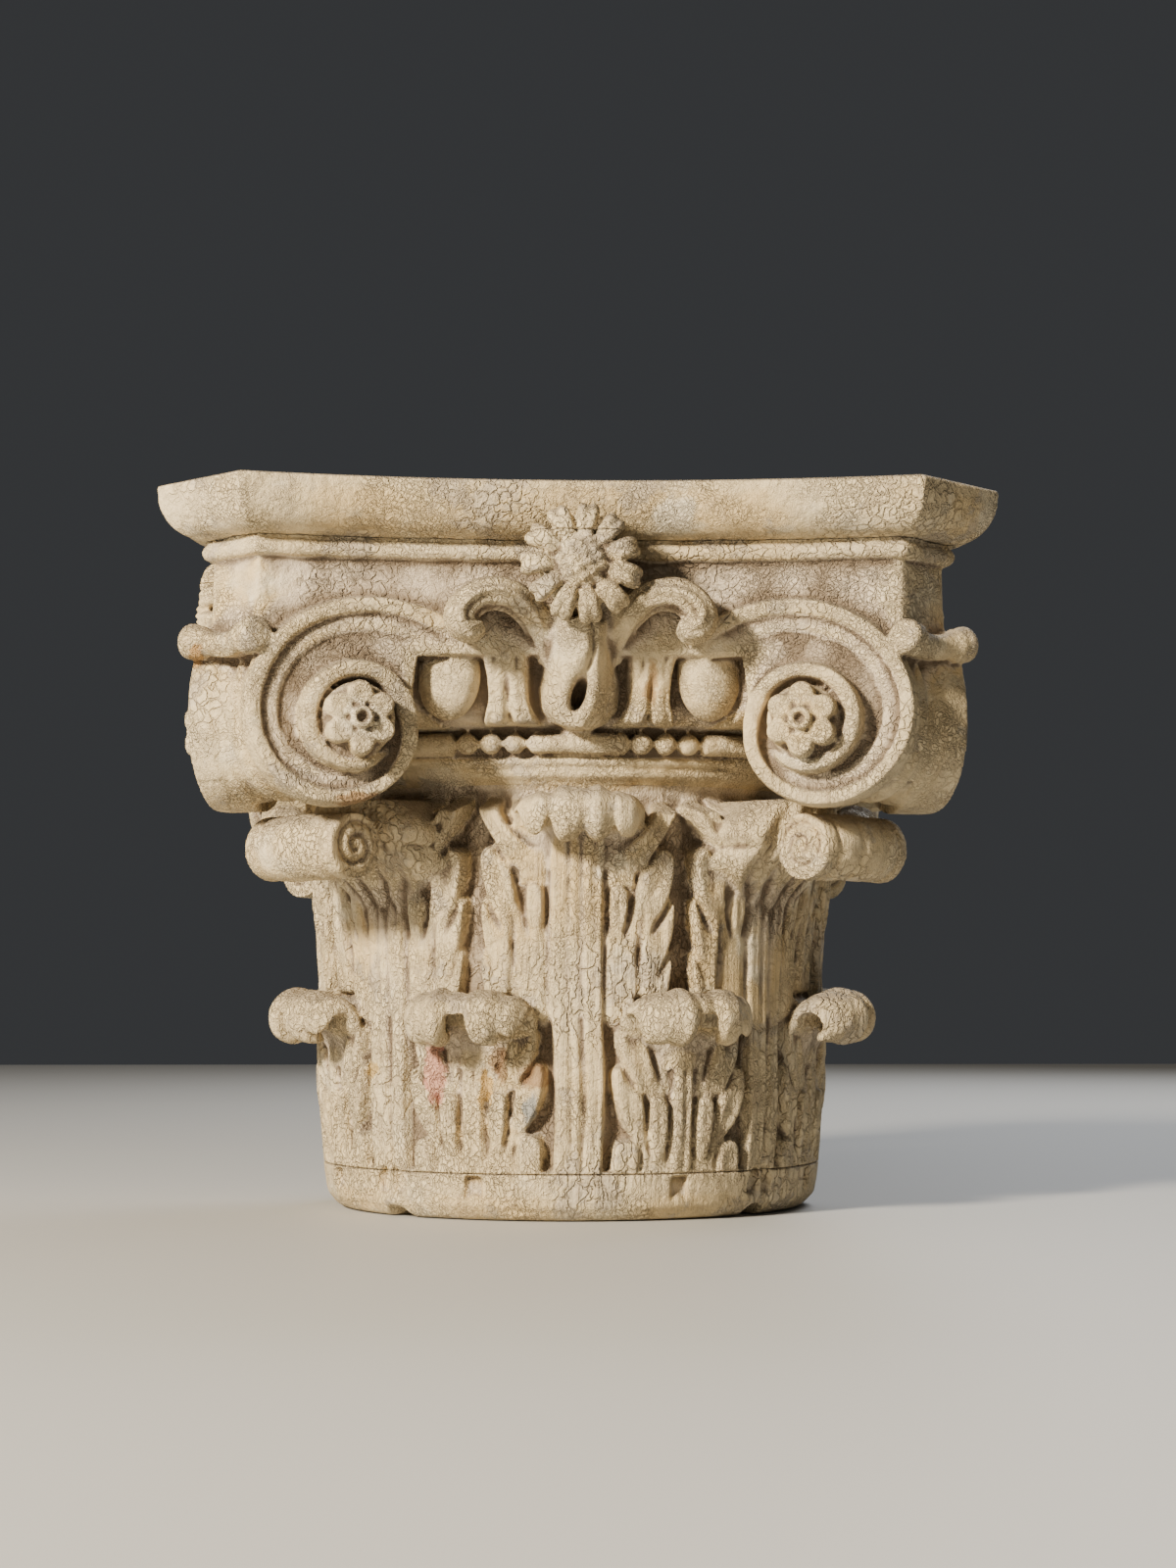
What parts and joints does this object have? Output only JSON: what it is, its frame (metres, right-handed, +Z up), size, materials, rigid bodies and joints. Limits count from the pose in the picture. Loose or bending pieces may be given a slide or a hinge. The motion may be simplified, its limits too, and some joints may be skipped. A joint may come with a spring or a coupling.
{
  "type": "column capital",
  "caption": "Carved and painted wooden column capital with acanthus leaves, corner volutes, egg and dart, and a moulded square top with curved-in sides.",
  "frame": {"origin": "centre of the underside", "axes": "+Z up, from the underside to the top board; the side seen in the picture faces -Y; +X is to the viewer's right"},
  "size_m": [0.42, 0.42, 0.365],
  "materials": {
    "base_ring": "old cream paint, crackled and dusty",
    "carved_body": "old cream paint, crackled and dusty",
    "top_board": "old cream paint, crackled and worn in patches"
  },
  "bodies": {
    "root": {"base_ring": "base_ring", "carved_body": "carved_body", "top_board": "top_board"}
  },
  "joints": []
}
